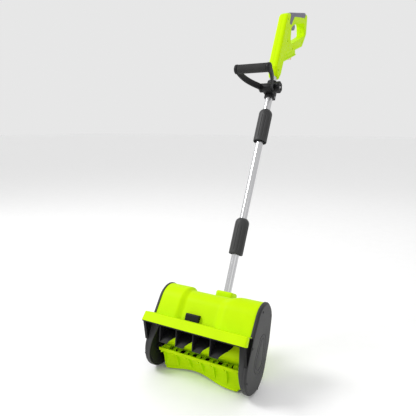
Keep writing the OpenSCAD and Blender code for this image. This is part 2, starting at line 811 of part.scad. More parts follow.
// Trigger on rails in the grip: it slides up into the grip, square to it
module trigger() {
    color("slategray") leaned() translate([0, shaft_v, 0]) along_x(-trigger_half, 2 * trigger_half)
        polygon([[40, 1216], [44, 1200], [52, 1199], [62, 1201], [78, 1212], [84, 1222], [80, 1232],
            [68, 1238]]);
}

module trigger_spring() {
    color("silver") leaned() translate([0, shaft_v + 56.3, 1235.9]) rotate([38.3, 0, 0])
        difference() {
            cylinder(r = 3, h = 7);
            translate([0, 0, -1]) cylinder(r = 2.2, h = 10);
        }
}

// Button through the left shell, hollow at its inner end for its spring
module lock_off_button() {
    color("slategray") leaned() difference() {
        x_rod(-handle_half - 3, 9, 6, lock_v, lock_w);
        x_rod(-handle_half + 3, 4, 3.4, lock_v, lock_w);
    }
}

module lock_off_spring() {
    color("silver") leaned() x_ring(-handle_half + 5.7, 6.5, 3, 2.2, lock_v, lock_w);
}

module switch_body() {
    color([0.1, 0.1, 0.1]) leaned() translate([0, shaft_v + 68, 1266]) rotate([38.3, 0, 0])
        translate([-14.1, -13, -8]) cube([28.2, 26, 10]);
}

module terminal_block() {
    color([0.1, 0.1, 0.1]) leaned() translate([0, shaft_v, 0])
        along_x(-11, 22) polygon([[60.5, 1100.5], [91.5, 1130.5], [105, 1116.5], [74, 1086.5]]);
}

module terminal_blades() {
    color("gold") leaned() translate([0, shaft_v + 90, 1101.4]) rotate([-136, 0, 0])
        for (x = [-8, 0, 8]) translate([x - 0.5, -9, 0.2]) cube([1, 14, 9]);
}

module control_board() {
    color("seagreen") leaned() translate([-1, shaft_v - 14, 1080]) cube([2, 26, 62]);
}

drum_housing();
intake_hood();
intake_liner();
scraper_bar();
left_side_frame();
right_side_frame();
left_side_cover();
right_side_cover();
side_cover_screws();
motor_vent_cover();
tube_socket();
socket_bolt();
rotor();
rotor_axles();
left_bearing();
right_bearing();
rotor_pulley();
drive_belt();
motor_pulley();
motor_shaft();
motor_armature();
motor_can();
motor_screws();
lower_tube();
middle_tube();
upper_tube();
joint_cores();
lower_joint_sleeve();
upper_joint_sleeve();
power_cable();
assist_clamp();
clamp_screws();
assist_bail();
assist_grip();
pivot_bolt();
clamp_knob();
handle_shell_left();
handle_shell_right();
handle_screws();
grip_overmould();
trigger();
trigger_spring();
lock_off_button();
lock_off_spring();
switch_body();
terminal_block();
terminal_blades();
control_board();
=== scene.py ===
import json
import math

import bmesh
import bpy
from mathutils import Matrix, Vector, noise


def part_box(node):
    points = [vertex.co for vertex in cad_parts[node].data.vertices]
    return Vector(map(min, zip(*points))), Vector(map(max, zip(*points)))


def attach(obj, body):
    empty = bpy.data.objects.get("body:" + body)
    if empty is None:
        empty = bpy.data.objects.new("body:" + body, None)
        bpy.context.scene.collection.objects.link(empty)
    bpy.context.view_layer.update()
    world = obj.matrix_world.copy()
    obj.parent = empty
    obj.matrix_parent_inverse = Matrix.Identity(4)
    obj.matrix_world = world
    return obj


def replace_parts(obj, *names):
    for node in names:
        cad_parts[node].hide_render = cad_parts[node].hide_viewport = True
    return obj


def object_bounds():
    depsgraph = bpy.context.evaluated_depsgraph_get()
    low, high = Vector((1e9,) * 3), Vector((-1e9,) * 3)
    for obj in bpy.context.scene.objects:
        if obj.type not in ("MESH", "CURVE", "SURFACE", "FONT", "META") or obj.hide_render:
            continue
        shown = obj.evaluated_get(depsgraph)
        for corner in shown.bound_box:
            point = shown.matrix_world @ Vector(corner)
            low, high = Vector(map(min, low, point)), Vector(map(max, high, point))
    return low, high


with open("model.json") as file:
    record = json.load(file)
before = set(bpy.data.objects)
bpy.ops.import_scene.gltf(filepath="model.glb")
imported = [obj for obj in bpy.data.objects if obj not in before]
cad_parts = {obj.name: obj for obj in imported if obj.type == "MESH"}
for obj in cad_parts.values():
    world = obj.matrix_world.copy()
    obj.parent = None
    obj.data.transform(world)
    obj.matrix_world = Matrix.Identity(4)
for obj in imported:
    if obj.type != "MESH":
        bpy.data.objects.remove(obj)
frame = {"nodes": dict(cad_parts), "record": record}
cad_lo, cad_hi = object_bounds()

# ---- the leaned frame: X across, v towards the rear, w up along the shaft, all in millimetres ----

JOINTS = {j["name"]: j for j in frame["record"]["behaviour"]["joints"]}
SHAFT = Vector(JOINTS["lower_sleeve_twist"]["axis"]).normalized()
REAR = Vector((0, SHAFT.z, -SHAFT.y))
ROTOR_AT = Vector(JOINTS["rotor_spin"]["pos_m"])
ROTOR_V, ROTOR_W = -14.2, -11.7
HOME = ROTOR_AT - REAR * ROTOR_V / 1000 - SHAFT * ROTOR_W / 1000
SHAFT_V = 68
LEAN = math.atan2(SHAFT.y, SHAFT.z)
ACROSS = Vector((1, 0, 0))


def place(x, v, w):
    """The world point, in metres, of a place in the leaned frame."""
    return HOME + ACROSS * (x / 1000) + REAR * (v / 1000) + SHAFT * (w / 1000)


def on_shaft(x, n, w):
    """The same, with n counted from the shaft's axis."""
    return place(x, SHAFT_V + n, w)


def turned(x, y, z):
    """A point round the rotor's axis, in upright axes."""
    return ROTOR_AT + Vector((x, y, z)) / 1000


def half_turned(turn):
    """The rotor's own places as they are, or with turn -1 half a turn on."""
    return lambda x, y, z: turned(x, turn * y, turn * z)


def reach(node):
    """How far a node goes to the right of the middle, in millimetres."""
    return round(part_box(node)[1][0] * 1000, 2)


def joint_place(name):
    """The (v, w) of a joint's pivot in the leaned frame."""
    d = (Vector(JOINTS[name]["pos_m"]) - HOME) * 1000
    return round(d.dot(REAR), 1), round(d.dot(SHAFT), 1)


def side_name(side):
    return "right" if side > 0 else "left"


def mirrored(side, a, b):
    """The stretch of X from a to b on the right, and its mirror on the left."""
    return (a, b) if side > 0 else (-b, -a)


# ---- mesh helpers ----

def add_mesh(name, verts, faces, material, body="machine", flat_above=40):
    """A new dressed piece; edges that bend by more than flat_above degrees stay sharp."""
    mesh = bpy.data.meshes.new(name)
    mesh.from_pydata([tuple(v) for v in verts], [], faces)
    ob = bpy.data.objects.new(name, mesh)
    bpy.context.collection.objects.link(ob)
    finish_mesh(ob, flat_above)
    return dress(ob, material, body)


def finish_mesh(ob, flat_above=40):
    """Welds the mesh, turns its faces outwards and smooths its gentle edges."""
    bm = bmesh.new()
    bm.from_mesh(ob.data)
    bmesh.ops.remove_doubles(bm, verts=bm.verts, dist=1e-6)
    bmesh.ops.dissolve_degenerate(bm, edges=bm.edges, dist=1e-7)
    bmesh.ops.recalc_face_normals(bm, faces=bm.faces)
    limit = math.radians(flat_above)
    for e in bm.edges:
        e.smooth = len(e.link_faces) == 2 and e.calc_face_angle(0) < limit
    for f in bm.faces:
        f.smooth = True
    bm.to_mesh(ob.data)
    bm.free()


def dress(ob, material, body):
    """Gives a piece its material and the body it rides on."""
    slot, mat = MATERIALS[material]
    ob.data.materials.clear()
    ob.data.materials.append(mat)
    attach(ob, body)
    return ob


def applied(ob):
    """Bakes the modifiers of ob into its mesh."""
    bpy.context.view_layer.update()
    deps = bpy.context.evaluated_depsgraph_get()
    mesh = bpy.data.meshes.new_from_object(ob.evaluated_get(deps))
    ob.modifiers.clear()
    ob.data = mesh
    return ob


def thicken(ob, wall, inside):
    """Gives an open skin a wall on the side of the point inside."""
    mesh = ob.data
    facing = sum((f.center - inside).dot(f.normal) * f.area for f in mesh.polygons)
    if facing < 0:
        mesh.flip_normals()
    solid = ob.modifiers.new("wall", "SOLIDIFY")
    solid.thickness = wall / 1000
    solid.offset = -1
    solid.use_even_offset = True
    applied(ob)
    finish_mesh(ob, 50)


def loft(rings, closed=True, caps=True):
    """Vertices and faces of a skin through rings of equal length."""
    n = len(rings[0])
    verts = [p for r in rings for p in r]
    faces = []
    for i in range(len(rings) - 1):
        for j in range(n if closed else n - 1):
            a, b = i * n + j, i * n + (j + 1) % n
            faces.append((a, b, b + n, a + n))
    if caps:
        faces.append(tuple(range(n - 1, -1, -1)))
        faces.append(tuple(len(verts) - n + j for j in range(n)))
    return verts, faces


def joined(parts):
    """Several (verts, faces) as one."""
    verts, faces = [], []
    for v, f in parts:
        k = len(verts)
        verts += v
        faces += [tuple(i + k for i in face) for face in f]
    return verts, faces


def lathe(profile, centre, axis, side, steps=64, wave=None):
    """Turns (radius, height) points in millimetres round an axis. Ends with radius 0 close it."""
    axis, side = Vector(axis), Vector(side)
    other = axis.cross(side)
    rings = []
    for r, h in profile:
        ring = []
        for k in range(steps):
            a = math.tau * k / steps
            q = wave(a, r, h) if wave else r
            out = side * math.cos(a) + other * math.sin(a)
            ring.append(Vector(centre) + out * (q / 1000) + axis * (h / 1000))
        rings.append(ring)
    shut = profile[0] == profile[-1]
    return loft(rings, True, not shut)


def x_lathe(profile, v, w, steps=48, wave=None):
    return lathe(profile, place(0, v, w), ACROSS, REAR, steps, wave)


def shaft_lathe(profile, low=0, steps=64, wave=None):
    """A lathe round the shaft, with its heights counted from low."""
    return lathe(profile, place(0, SHAFT_V, low), SHAFT, ACROSS, steps, wave)


# ---- outlines from corner circles ----

def edge_normal(p, q):
    """Direction, outwards, of the straight edge that touches two corner circles."""
    d = (q[0] - p[0], q[1] - p[1])
    return math.atan2(d[1], d[0]) + math.acos((p[2] - q[2]) / math.hypot(*d))


def rounded(corners, grow=0, facet=6):
    """Clockwise outline through corner circles (v, w, r). A negative r rounds an inward corner."""
    out = []
    for i, c in enumerate(corners):
        before, after = corners[i - 1], corners[(i + 1) % len(corners)]
        start = edge_normal(before, c)
        turn = (start - edge_normal(c, after)) % math.tau
        if c[2] < 0:
            turn -= math.tau
        steps = max(1, math.ceil(abs(math.degrees(turn)) / facet - 1e-6))
        for k in range(steps + 1):
            a = start - turn * k / steps
            r = c[2] + grow
            out.append((c[0] + r * math.cos(a), c[1] + r * math.sin(a)))
    return out


def circle(v, w, r, steps=32):
    turns = [math.tau * k / steps for k in range(steps)]
    return [(v + r * math.cos(a), w + r * math.sin(a)) for a in turns]


def block(v0, v1, w0, w1, r):
    """The four corner circles of a rounded oblong, by their centres."""
    return [(v0, w1, r), (v1, w1, r), (v1, w0, r), (v0, w0, r)]


def grown(corners):
    """The outline through corner circles as a function of its growth."""
    return lambda g: rounded(corners, g)


def shrunk(corners, facet=6):
    """The outline through corner circles as a function of its inset."""
    return lambda inset: rounded(corners, -inset, facet)


def bore(v, w, r):
    return lambda g: circle(v, w, r + g)


class Slab:
    """A solid built across X from outlines: walls between loops, and filled rings between loops."""

    def __init__(self, to_world=place):
        self.bm = bmesh.new()
        self.to_world = to_world

    def loop(self, outline, x):
        return [self.bm.verts.new(self.to_world(x, *p)) for p in outline]

    def wall(self, a, b):
        n = len(a)
        for j in range(n):
            k = (j + 1) % n
            try:
                self.bm.faces.new((a[j], a[k], b[k], b[j]))
            except ValueError:
                pass

    def walls(self, outline_at, profile):
        """Walls through (inset, x) pairs, where outline_at(inset) gives the loop. Returns both end loops."""
        loops = [self.loop(outline_at(inset), x) for inset, x in profile]
        for a, b in zip(loops, loops[1:]):
            self.wall(a, b)
        return loops[0], loops[-1]

    def well(self, v, w, profile, steps):
        """A blind round hole through (radius, x) pairs. Returns the loop at its mouth."""
        loops = [self.loop(circle(v, w, r, steps), x) for r, x in profile]
        for a, b in zip(loops, loops[1:]):
            self.wall(a, b)
        self.fill(loops[-1])
        return loops[0]

    def fill(self, *loops):
        """A flat face between an outer loop and any loops inside it."""
        edges = []
        for loop in loops:
            for a, b in zip(loop, loop[1:] + loop[:1]):
                e = self.bm.edges.get((a, b)) or self.bm.edges.new((a, b))
                edges.append(e)
        bmesh.ops.triangle_fill(self.bm, edges=edges, use_beauty=True, use_dissolve=False)

    def done(self, name, material, body="machine", flat_above=35):
        mesh = bpy.data.meshes.new(name)
        self.bm.to_mesh(mesh)
        self.bm.free()
        ob = bpy.data.objects.new(name, mesh)
        bpy.context.collection.objects.link(ob)
        finish_mesh(ob, flat_above)
        return dress(ob, material, body)


def soft_edge(inset, depth, x, steps=10):
    """(inset, x) pairs round an elliptical edge that ends at x."""
    turns = [math.pi / 2 * k / steps for k in range(steps + 1)]
    return [(inset * (1 - math.cos(a)), x - depth * (1 - math.sin(a))) for a in turns]


def round_over(radius, x, steps):
    return soft_edge(radius, radius, x, steps)


def plate(name, outer, holes, x0, x1, material, body="machine", bevel=0.6, to_world=place):
    """A flat plate between x0 and x1 with rounded rims; outer(grow) and each hole(grow) give outlines."""
    s = Slab(to_world)
    rims = []
    for sign, make in [(-1, outer)] + [(1, h) for h in holes]:
        up = round_over(bevel, x1, 2)
        down = [(i, x0 + x1 - x) for i, x in reversed(up)]
        rims.append(s.walls(lambda inset, make=make, sign=sign: make(sign * inset), down + up))
    s.fill(*[r[0] for r in rims])
    s.fill(*[r[1] for r in rims])
    return s.done(name, material, body)


def pillow(name, outline_at, edge, middle, material, body="machine", to_world=place):
    """A solid with two like faces either side of middle; edge holds one side's (inset, x) pairs."""
    s = Slab(to_world)
    other = [(i, 2 * middle - x) for i, x in reversed(edge)]
    start, end = s.walls(outline_at, other + edge)
    s.fill(start)
    s.fill(end)
    return s.done(name, material, body)


# ---- materials ----

def noise_at(tree, scale, detail, stretch):
    """Noise in the object's own space, turned to lie along the shaft."""
    where = tree.nodes.new("ShaderNodeTexCoord")
    turn = tree.nodes.new("ShaderNodeMapping")
    turn.inputs["Scale"].default_value = stretch
    turn.inputs["Rotation"].default_value = (LEAN, 0, 0)
    tex = tree.nodes.new("ShaderNodeTexNoise")
    tex.inputs["Scale"].default_value = scale
    tex.inputs["Detail"].default_value = detail
    tree.links.new(where.outputs["Object"], turn.inputs["Vector"])
    tree.links.new(turn.outputs["Vector"], tex.inputs["Vector"])
    return tex.outputs["Fac"]


def ramp(tree, value, low, high):
    """Spreads the middle of a noise over the range from low to high."""
    node = tree.nodes.new("ShaderNodeMapRange")
    node.inputs["From Min"].default_value = 0.3
    node.inputs["From Max"].default_value = 0.7
    node.inputs["To Min"].default_value = low
    node.inputs["To Max"].default_value = high
    tree.links.new(value, node.inputs["Value"])
    return node.outputs["Result"]


def surface(name, colour, rough, vary, grain, depth, metal=0, patch=18, stretch=(1, 1, 1), specular=0.5):
    """A material whose colour drifts a little in patches, with a fine grain in its relief and roughness."""
    mat = bpy.data.materials.new(name)
    mat.use_nodes = True
    tree = mat.node_tree
    shader = tree.nodes["Principled BSDF"]
    shader.inputs["Metallic"].default_value = metal
    shader.inputs["Specular IOR Level"].default_value = specular
    patches = noise_at(tree, patch, 4, stretch)
    fine = noise_at(tree, grain, 2, stretch)
    mix = tree.nodes.new("ShaderNodeMix")
    mix.data_type = "RGBA"
    mix.inputs[6].default_value = (*[c * (1 - vary) for c in colour], 1)
    mix.inputs[7].default_value = (*[min(1, c * (1 + vary)) for c in colour], 1)
    tree.links.new(ramp(tree, patches, 0, 1), mix.inputs["Factor"])
    tree.links.new(mix.outputs[2], shader.inputs["Base Color"])
    tree.links.new(ramp(tree, fine, rough - 0.05, rough + 0.07), shader.inputs["Roughness"])
    bump = tree.nodes.new("ShaderNodeBump")
    bump.inputs["Strength"].default_value = depth
    bump.inputs["Distance"].default_value = 0.0003
    tree.links.new(fine, bump.inputs["Height"])
    tree.links.new(bump.outputs["Normal"], shader.inputs["Normal"])
    return mat


LIME = (0.53, 0.80, 0.0)
BLACK = (0.007, 0.007, 0.008)
GREY = (0.040, 0.040, 0.041)
SLATE = (0.15, 0.14, 0.19)
ALONG_SHAFT = (1, 1, 0.02)
ALONG_X = (1, 12, 12)
# each entry: the record's slot, and name, colour, roughness, drift, grain, relief, metal, patch, stretch
MATERIALS = {
    "lime": ("lime_moulding", surface("lime", LIME, 0.46, 0.03, 700, 0.06, specular=0.06)),
    "black": ("black_moulding", surface("black", BLACK, 0.5, 0.2, 1100, 0.3, specular=0.25)),
    "grey": ("grey_moulding", surface("grey", GREY, 0.5, 0.08, 1100, 0.3, specular=0.3)),
    "slate": ("slate_soft", surface("slate", SLATE, 0.62, 0.08, 1300, 0.35)),
    "slate_hard": ("slate_hard", surface("slate_hard", SLATE, 0.42, 0.06, 900, 0.15)),
    "foam": ("foam", surface("foam", (0.018, 0.018, 0.018), 0.85, 0.3, 1500, 0.8)),
    "alu": ("tube_alu", surface("alu", (0.60, 0.60, 0.61), 0.22, 0.02, 260, 0.01, 1, 30, ALONG_SHAFT)),
    "steel": ("steel", surface("steel", (0.62, 0.62, 0.63), 0.3, 0.08, 500, 0.1, 1)),
    "dark_steel": ("dark_steel", surface("dark_steel", (0.025, 0.025, 0.025), 0.4, 0.1, 500, 0.1, 1)),
    "belt": ("belt", surface("belt", (0.012, 0.012, 0.012), 0.7, 0.2, 900, 0.4)),
    "copper": ("copper", surface("copper", (0.72, 0.40, 0.22), 0.35, 0.1, 200, 0.5, 1, 40, ALONG_X)),
    "contact": ("contact", surface("contact", (0.80, 0.62, 0.25), 0.3, 0.05, 400, 0.1, 1)),
    "board": ("board", surface("board", (0.02, 0.18, 0.09), 0.4, 0.15, 300, 0.2)),
}
BY_SLOT = {slot: mat for slot, mat in MATERIALS.values()}
for part in frame["record"]["subparts"]:
    cad = frame["nodes"][part["node"]]
    cad.data.materials.clear()
    cad.data.materials.append(BY_SLOT[part["material_slot"]])


# ---- head ----

HALF = reach("right_side_cover")
COVER_IN = HALF - 10
FRAME_OUT = reach("drum_housing")
FRAME_IN = 145
SKIN = 2
SADDLE = 9
# corner circles (v, w, r) of the head's outline, clockwise from its top
HEAD = [(-2, 125, 57), (0, 68, 68.5), (0, 0, 72), (0, 68, 68.5)]
HEAD_TOP, HEAD_REAR, HEAD_LOW, HEAD_FRONT = HEAD


def smooth_step(a, b, x):
    """0 up to a, 1 from b on, and a smooth rise between them."""
    t = min(1, max(0, (x - a) / (b - a)))
    return t * t * (3 - 2 * t)


def drum_path():
    """Centres, radii and directions round the drum, from under the hood over the top to the rear edge."""
    top_start = edge_normal(HEAD_FRONT, HEAD_TOP)
    top_end = edge_normal(HEAD_TOP, HEAD_REAR)
    mid_end = edge_normal(HEAD_REAR, HEAD_LOW)
    past_mid = math.radians(10.5)
    path = [(*HEAD_FRONT, top_start)]
    path += [(*HEAD_TOP, top_start - (top_start - top_end) * k / 48) for k in range(49)]
    path += [(*HEAD_REAR, top_end - (top_end - mid_end) * k / 4) for k in range(5)]
    path += [(*HEAD_LOW, mid_end - past_mid * k / 4) for k in range(5)]
    return path


def straight_filled(points, gap=7):
    """Adds points along any stretch longer than gap."""
    out = [points[0]]
    for p, q in zip(points, points[1:]):
        n = max(1, round(math.dist(p, q) / gap))
        out += [tuple(a + (b - a) * k / n for a, b in zip(p, q)) for k in range(1, n + 1)]
    return out


def drum_inset(x, along):
    """How far the skin lies inside the head's outline: more over the saddle, whose ends are crescents."""
    rise = smooth_step(0.05, 0.5, along)
    step = -76 - 4 * rise
    low = smooth_step(step - 4 - 12 * (1 - rise), step + 6, x)
    low *= 1 - smooth_step(32 + 20 * rise, 64 + 30 * rise, x)
    return SKIN + SADDLE * low


def drum_stations():
    """Places along X for the drum's sections, closest where the saddle's left end curves."""
    xs = [-FRAME_OUT, -FRAME_OUT + 0.4, -FRAME_OUT + 1.5] + [-150 + 5 * k for k in range(13)]
    xs += [-96 + k for k in range(34)] + [-60 + 4 * k for k in range(53)]
    xs += [FRAME_OUT - 1.5, FRAME_OUT - 0.4, FRAME_OUT]
    return sorted(set(xs))


def drum():
    """Shell of the drum, with its rims turned in by half a millimetre."""
    rim, turn_in = 1.5, 0.5
    path = drum_path()
    rows = []
    for x in drum_stations():
        edge = max(0, rim - (FRAME_OUT - abs(x)))
        ring = []
        for i, (cv, cw, r, a) in enumerate(path):
            q = r - drum_inset(x, i / len(path)) - turn_in * edge * edge / rim
            ring.append((cv + q * math.cos(a), cw + q * math.sin(a)))
        rows.append([place(x, *p) for p in straight_filled(ring)])
    verts, faces = loft(rows, closed=False, caps=False)
    ob = add_mesh("drum_shell", verts, faces, "lime", flat_above=50)
    thicken(ob, 3.3, place(0, 0, 70))
    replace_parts(ob, "drum_housing")


# the height of the hood's top face, the v of the face's front edge, and the (v, w) of the hood's lip
HOOD_TOP = 81
HOOD_CREST = -111
HOOD_LIP = (-118, 55)


def hood_ring(x, v, way):
    """Closed section of the hood at one place of its plan, where way is the outward direction."""
    slope = (HOOD_CREST - HOOD_LIP[0]) / (HOOD_TOP - HOOD_LIP[1])
    lean_out = slope * max(0, -way[1])
    wall, curve = 2.8, 3.5
    back = x - curve * way[0]
    rear = -62 if abs(x) < COVER_IN else -72
    middle = -80
    outer = [(back, rear, HOOD_TOP), (back, middle, HOOD_TOP)]
    inner = [(back, rear, HOOD_TOP - wall), (back, middle, HOOD_TOP - wall)]
    for k in range(7):
        a = math.pi / 2 * k / 6
        for line, r in ((outer, curve), (inner, curve - wall)):
            d = r * math.sin(a) - curve
            line.append((x + way[0] * d, v + way[1] * d, HOOD_TOP - curve + r * math.cos(a)))
    drop = HOOD_TOP - curve - HOOD_LIP[1]
    for k in range(1, 7):
        out = lean_out * drop * k / 6
        for line, d in ((outer, out), (inner, out - wall)):
            line.append((x + way[0] * d, v + way[1] * d, HOOD_TOP - curve - drop * k / 6))
    out = lean_out * drop
    lip = [(x + way[0] * (out - b), v + way[1] * (out - b), HOOD_LIP[1] - 0.5) for b in (0.7, wall - 0.7)]
    return [place(*p) for p in outer + lip + inner[::-1]]


def hood():
    """Top plate and front band, turned round at both ends."""
    corner = 5
    end = HALF - 0.1
    inner = end - corner
    half = [(end, -98, (1, 0)), (end, -103, (1, 0))]
    for k in range(9):
        a = math.pi / 2 * k / 8
        x, v = inner + corner * math.cos(a), HOOD_CREST + corner * (1 - math.sin(a))
        half.append((x, v, (math.cos(a), -math.sin(a))))
    front = [(inner - 2 * inner * k / 24, HOOD_CREST, (0, -1)) for k in range(1, 24)]
    stations = half + front + [(-x, v, (-d[0], d[1])) for x, v, d in reversed(half)]
    ob = add_mesh("hood_shell", *loft([hood_ring(*st) for st in stations]), "lime", flat_above=45)
    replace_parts(ob, "intake_hood")


def screw_head(name, at, axis, side, radius, body, material="dark_steel"):
    """A domed screw head with a six-lobed socket."""
    def lobes(a, r, h):
        return r * (1 + 0.16 * math.cos(6 * a)) if 0 < r < 0.6 * radius else r

    centre, socket, low = 0.001, -1.3, -2.2
    profile = [(centre, socket), (0.5 * radius, socket), (0.52 * radius, -0.1), (0.68 * radius, 0)]
    profile += [(0.9 * radius, -0.2), (radius, -0.7), (radius, low), (centre, low)]
    verts, faces = lathe(profile, at, axis, side, 36, lobes)
    return add_mesh(name, verts, faces, material, body)


# (v, w) of the side covers' screws
COVER_SCREWS = [(-34, 151), (38, 149), (-60, 52), (60, 24), (-52, -38), (38, -53)]


def panel(inset):
    """Outline of the pressed panel in the middle of a side cover."""
    return rounded([(6, 72, 24 - inset), (8, 20, 36 - inset)], 0, 5)


def cover_rim():
    """(inset, x) pairs from the cover's back, over its step, to its outer face."""
    back = [(3.5, 0), (0.5, 0), (0, 0.5)]
    step = [(0, 4.8), (0.4, 5.5), (1.1, 5.9), (3.6, 6), (4.2, 6.3), (4.4, 6.8)]
    edge = [(4.5 + i, x) for i, x in round_over(2, HALF, 4)]
    return [(i, COVER_IN + x) for i, x in back + step] + edge + [(7.5, HALF)]


def side_cover(side):
    """Dished cover with a stepped rim, two pressed grooves and counterbored screws."""
    s = Slab(lambda x, v, w: place(side * x, v, w))
    start, face_rim = s.walls(shrunk(HEAD, 3), cover_rim())
    s.fill(start)
    dip = [(-0.6, 0), (0, 0.1), (0.5, 0.8), (1, 1.1), (1.9, 1.1), (2.3, 0.8), (2.8, 0.1), (3.4, 0)]
    groove = [(i, HALF - depth) for i, depth in dip]
    outer_a, inner_a = s.walls(panel, groove)
    outer_b, inner_b = s.walls(lambda inset: panel(inset + 11), groove)
    s.fill(inner_a, outer_b)
    s.fill(inner_b)
    well = [(4.0, HALF), (3.7, HALF - 0.2), (3.6, HALF - 0.6), (3.6, HALF - 3.4)]
    mouths = [s.well(v, w, well, 32) for v, w in COVER_SCREWS]
    s.fill(face_rim, outer_a, *mouths)
    name = side_name(side)
    ob = s.done(name + "_cover_shell", "grey", flat_above=30)
    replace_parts(ob, name + "_side_cover")
    for i, (v, w) in enumerate(COVER_SCREWS):
        at = place(side * (HALF - 1.6), v, w)
        screw = screw_head(f"{name}_cover_screw_{i}", at, (side, 0, 0), REAR, 3.1, "machine")
        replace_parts(screw, "side_cover_screws")


def vent():
    """Louvred air cover that stands on the saddle behind the hood."""
    corners = [(-62, 98, 4), (-46, 98, 4), (-46, 81, 3), (-62, 81, 4)]
    body = pillow("vent_body", shrunk(corners), round_over(1.5, -10, 3), -32, "black")
    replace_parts(body, "motor_vent_cover")
    for k in range(5):
        x = -52 + 4.4 * k
        louvre = grown(block(-63, -50, 82, 97, 3))
        rib = plate(f"vent_rib_{k}", louvre, [], x, x + 2, "black", bevel=0.5)
        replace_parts(rib, "motor_vent_cover")


def socket():
    """Block on the drum's back that holds the tube, with rounded edges."""
    corners = [(50, 182, 8), (80, 182, 8), (68, 115, 20), (62, 115, 20)]
    ob = pillow("socket_body", shrunk(corners, 4), round_over(6, 28, 6), 0, "lime")
    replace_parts(ob, "tube_socket")
    low, high, bore_r = 186, 190, 12.4
    collar = [(bore_r, low), (14.5, low), (15.2, low + 0.6), (15.2, high - 1)]
    collar += [(14.6, high - 0.2), (bore_r, high), (bore_r, low)]
    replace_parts(add_mesh("socket_collar", *shaft_lathe(collar), "lime"), "tube_socket")


ROTOR_R = 65
ROTOR_HALF = reach("rotor")
LINER_END = reach("intake_liner")
ROOF_W = 77.8


def scoop_arc(r):
    """Arc behind the rotor, from the roof down."""
    low, high, steps = -36.5, 68.6, 44
    angles = [math.radians(high + (low - high) * k / steps) for k in range(steps + 1)]
    return [(ROTOR_V + r * math.cos(a), ROTOR_W + r * math.sin(a)) for a in angles]


def liner_shell(g):
    """Outline of the roof and the scoop in one wall."""
    front, under = -107 - g, ROOF_W - 2.5 - g
    outer = [(front, ROOF_W + g), (-52, ROOF_W + g)] + scoop_arc(68.6 + g)
    return outer + scoop_arc(66.2 - g)[::-1] + [(-53, under), (front, under)]


def guide_line(w):
    """Front face of the guide panels: round the rotor, then up to the roof."""
    r = ROTOR_R + 5.5
    straight = 46
    if w > straight:
        return (guide_line(straight)[0] + 0.25 * (w - straight), w)
    return (ROTOR_V - math.sqrt(r * r - (w - ROTOR_W) ** 2), w)


def liner_vane(g):
    """Outline of a guide vane, from the roof's front edge to the guide panels."""
    low = 5 - g
    back = [guide_line(w) for w in range(6, 76, 3)]
    return back[::-1] + [(-80, low), (-82 - g, low), (-99 - g, 50), (-97 - g, ROOF_W - 2)]


def guide_panel(x):
    """Curved panel from a vane's left side, which narrows towards its foot."""
    foot, height, thick = 5, 71, 2.2
    rings = []
    for k in range(25):
        w = foot + height * k / 24
        v = guide_line(w)[0]
        right = x + 27 + 25 * smooth_step(0, 1, min(1, (w - foot) / 38)) if w < 43 else x + 52
        section = [(x + 1, v), (right, v), (right + 1, v + thick / 2), (right, v + thick), (x + 1, v + thick)]
        rings.append([place(p, q, w) for p, q in section])
    return loft(rings)


def liner():
    """Chute roof and scoop in one moulding, with vanes and curved guide panels in front of the rotor."""
    pieces = [plate("liner_shell", liner_shell, [], -LINER_END, LINER_END, "black", bevel=0.4)]
    lip = grown([(-113.5, 56, 0.8), (-113.5, 52.6, 0.8), (-115.7, 52.6, 0.8), (-115.7, 56, 0.8)])
    pieces.append(plate("liner_lip", lip, [], -162, 162, "black", bevel=0.4))
    for i in range(4):
        x = -110 + 55 * i
        pieces.append(plate(f"liner_vane_{i}", liner_vane, [], x, x + 4, "black", bevel=0.5))
        pieces.append(add_mesh(f"liner_guide_{i}", *guide_panel(x), "black"))
    for piece in pieces:
        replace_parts(piece, "intake_liner")


# (w, x) along the inner edge of the side frames' front strips, from the top down
STRIP_EDGE = [(78, 126), (48, 126), (34, 133), (19, 139), (-15, 142), (-44, 146), (-60, 148), (-90, 148)]


def strip_edge(w):
    """Inner edge, in x, of the side frame's front strip at height w."""
    for (w1, x1), (w0, x0) in zip(STRIP_EDGE, STRIP_EDGE[1:]):
        if w >= w0:
            return x0 + (x1 - x0) * (w - w0) / (w1 - w0)
    return STRIP_EDGE[-1][1]


def strip_path():
    """Places and outward directions round the head's front and lower edge."""
    start = edge_normal(HEAD_LOW, HEAD_FRONT)
    turns = [(HEAD_FRONT, start - math.radians(k)) for k in (8, 4, 0)]
    turns += [(HEAD_LOW, start + math.radians(k * 4)) for k in range(41)]
    return [(v + r * math.cos(a), w + r * math.sin(a), a) for (v, w, r), a in turns]


def frame_strip(side):
    """Strip that runs round the front of a side frame and under it, widest at its top."""
    rings = []
    out = FRAME_OUT - 0.8
    for v, w, a in strip_path():
        x_in = strip_edge(w) if math.cos(a) < 0.1 else 148
        section = [(x_in, 0.8), (x_in + 0.8, 0), (out, 0), (FRAME_OUT, 0.8), (FRAME_OUT, 5)]
        section += [(150, 7.5), (x_in + 0.8, 4), (x_in, 3.2)]
        rings.append([place(side * x, v - d * math.cos(a), w - d * math.sin(a)) for x, d in section])
    return loft(rings)


